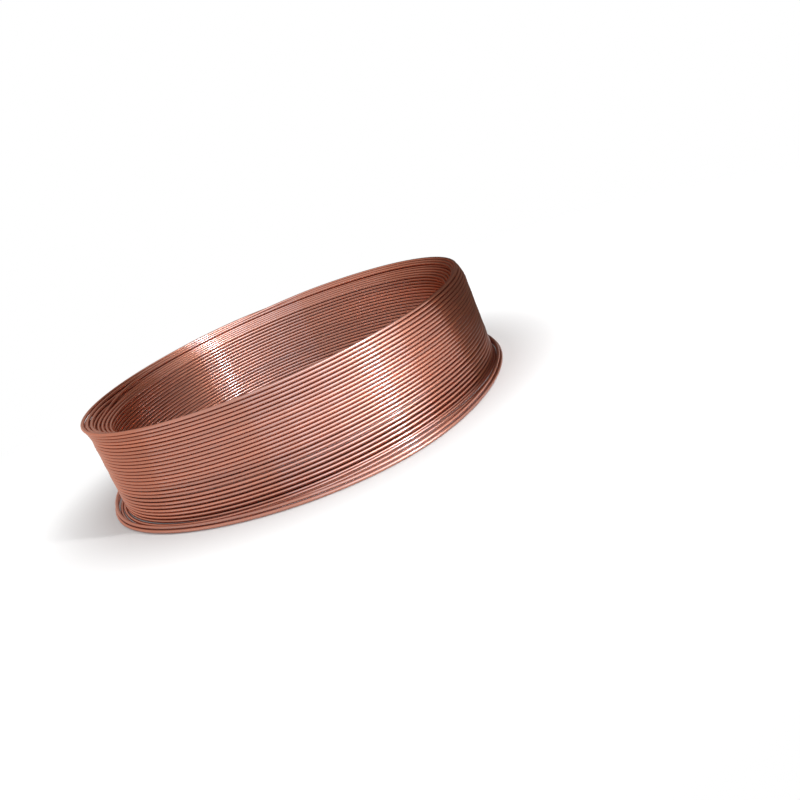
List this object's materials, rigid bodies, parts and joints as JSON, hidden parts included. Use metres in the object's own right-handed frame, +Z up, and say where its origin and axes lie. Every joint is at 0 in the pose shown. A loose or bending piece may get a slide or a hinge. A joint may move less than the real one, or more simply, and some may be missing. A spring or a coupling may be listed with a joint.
{
  "type": "coil of copper tube",
  "caption": "Coil of thin soft copper tube wound in close layers round an open bore, with its last turns sprung loose at the foot and one open tube end.",
  "frame": {"origin": "on the axis of the coil, at the level of the floor that it stands on", "axes": "+Z up the coil's axis, from its foot with the loose turns to its other end; +X to the right and +Y to the back, where the tube's free end lies"},
  "size_m": [0.2574, 0.2753, 0.0582],
  "materials": {
    "copper": "drawn soft copper, satin, lightly darkened"
  },
  "bodies": {
    "root": {"copper_tube_coil": "copper"}
  },
  "joints": []
}
